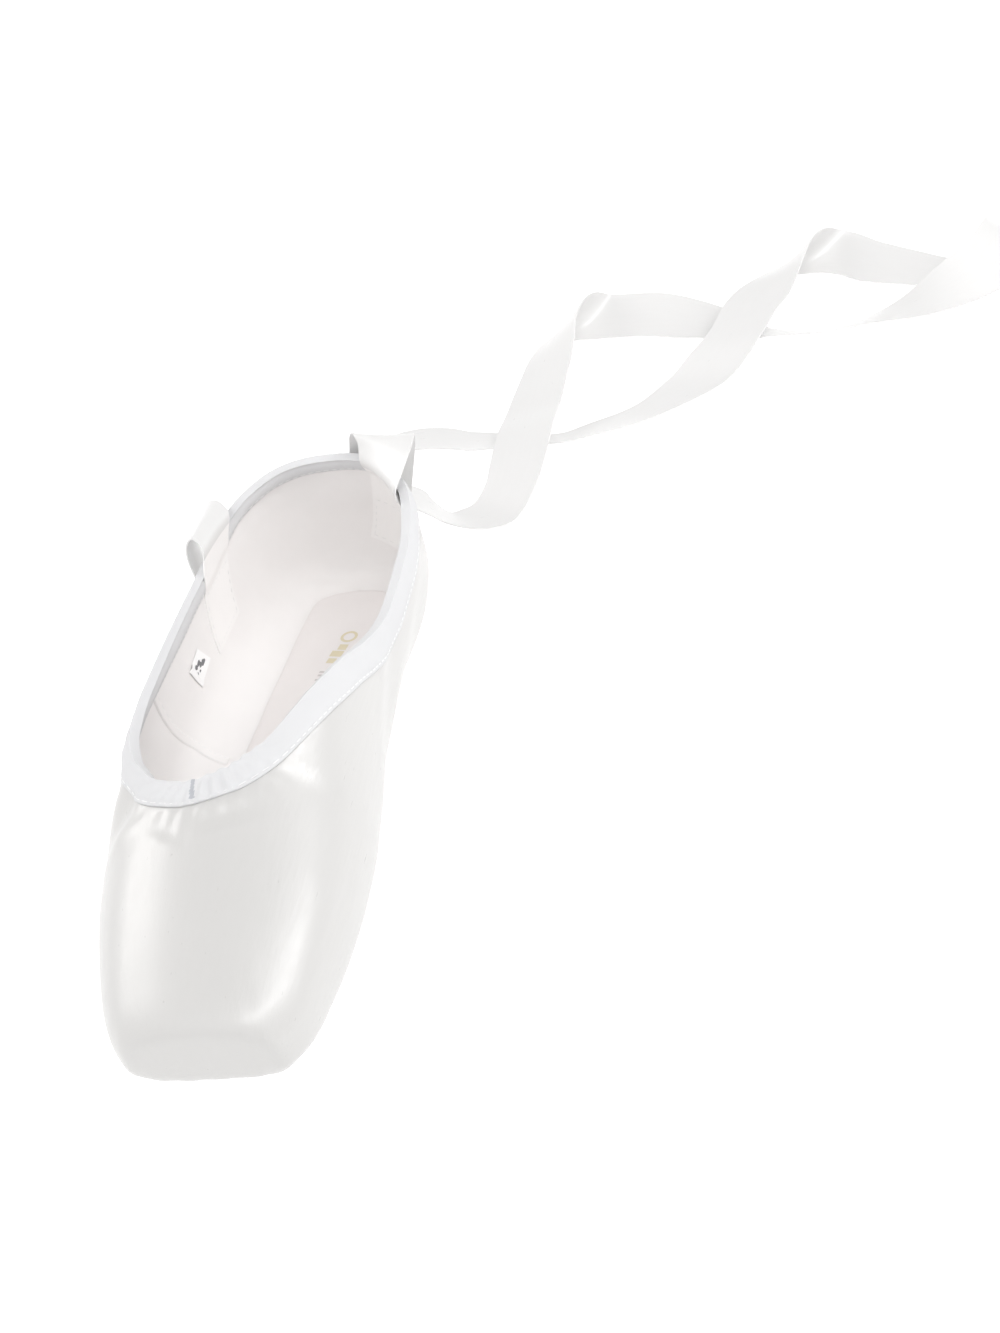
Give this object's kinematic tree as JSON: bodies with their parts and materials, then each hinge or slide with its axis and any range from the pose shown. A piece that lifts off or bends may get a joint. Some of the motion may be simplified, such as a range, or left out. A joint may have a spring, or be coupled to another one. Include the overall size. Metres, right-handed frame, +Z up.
{
  "type": "pointe shoe",
  "caption": "White satin ballet pointe shoe with a stiffened toe box, flat platform, thin leather sole, drawstring collar and two sewn satin ribbons.",
  "frame": {"origin": "middle of the shoe's bounding box, on the floor that it stands on, without the ribbons", "axes": "+Z up, +Y towards the heel, so the toe points along -Y, and +X is across the shoe"},
  "size_m": [0.3291, 0.45, 0.0609],
  "materials": {
    "satin": "glossy satin weave",
    "cotton": "matte cotton twill",
    "sole_leather": "buffed suede leather",
    "lining": "matte cotton lining",
    "ribbon_satin": "glossy satin ribbon with woven edges"
  },
  "bodies": {
    "root": {"upper": "satin", "collar_binding": "cotton", "outsole": "sole_leather", "insole": "lining", "ribbon_left": "ribbon_satin", "ribbon_right": "ribbon_satin"}
  },
  "joints": []
}
